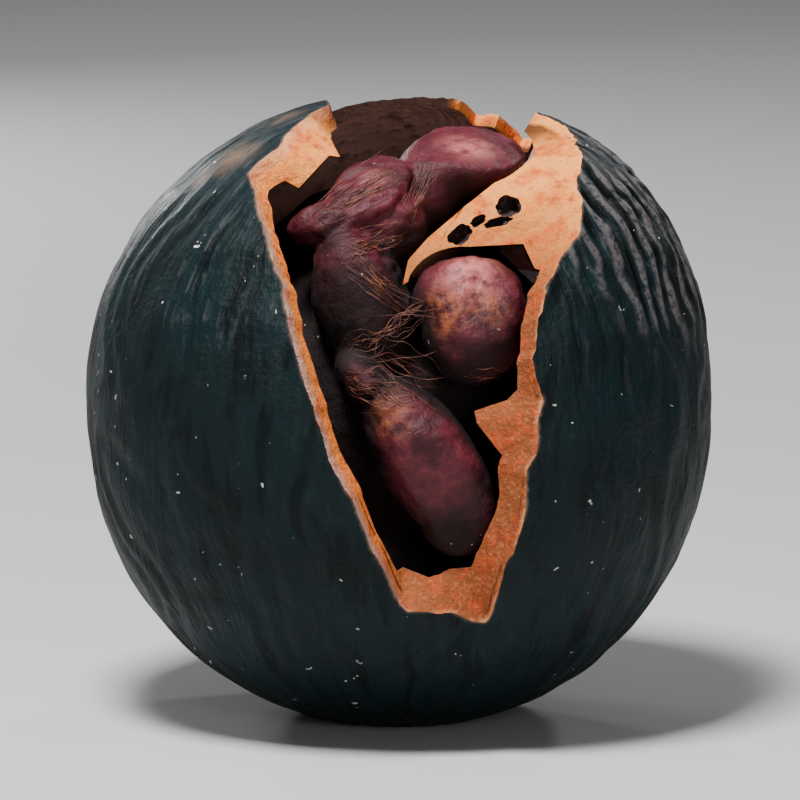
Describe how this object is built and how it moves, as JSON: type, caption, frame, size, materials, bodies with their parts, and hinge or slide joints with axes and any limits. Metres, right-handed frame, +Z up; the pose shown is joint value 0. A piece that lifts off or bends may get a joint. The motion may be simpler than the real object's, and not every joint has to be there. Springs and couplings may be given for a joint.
{
  "type": "chinese hickory nut",
  "caption": "Round black hickory nut, cracked open in front: tan broken shell wall with ridges between the lobes of its red-brown kernel.",
  "frame": {"origin": "centre of the flat spot that the nut rests on", "axes": "+Z up along the nut's own axis, from its base to its apex; -Y towards the opening"},
  "size_m": [0.0232, 0.0222, 0.0226],
  "materials": {
    "shell": "satin",
    "seed_coat": "satin"
  },
  "bodies": {
    "root": {"shell": "shell", "kernel": "seed_coat"}
  },
  "joints": []
}
